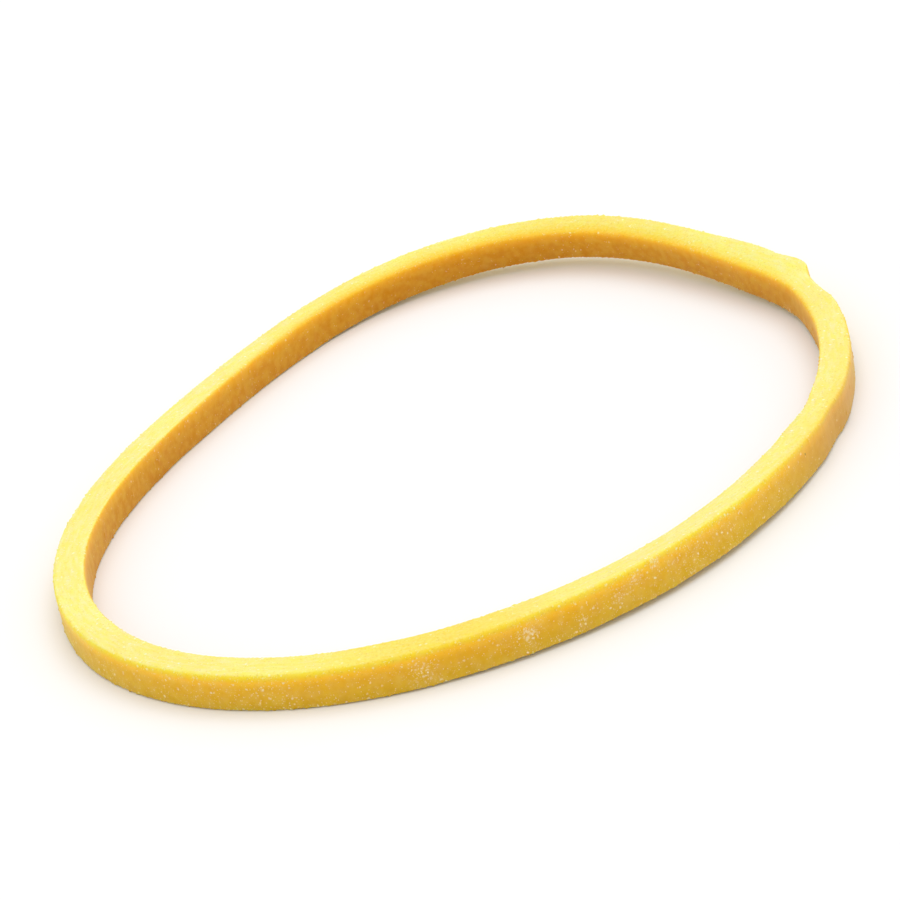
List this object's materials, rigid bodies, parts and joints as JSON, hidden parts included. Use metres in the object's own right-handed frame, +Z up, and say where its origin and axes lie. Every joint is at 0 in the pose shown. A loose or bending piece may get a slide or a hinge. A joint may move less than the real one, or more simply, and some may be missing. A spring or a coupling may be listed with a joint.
{
  "type": "rubber band",
  "caption": "Closed ring of yellow rubber with a nearly rectangular section, relaxed into an oval loop and lying on one of its cut faces.",
  "frame": {"origin": "on the surface that the band lies on, under the middle of its bounding box", "axes": "+Z up, out of the surface; the loop's long diameter lies about 58 degrees from +X towards +Y"},
  "size_m": [0.039, 0.0418, 0.0027],
  "materials": {
    "rubber": "satin yellow rubber dusted with talc"
  },
  "bodies": {
    "root": {"rubber_band": "rubber"}
  },
  "joints": []
}
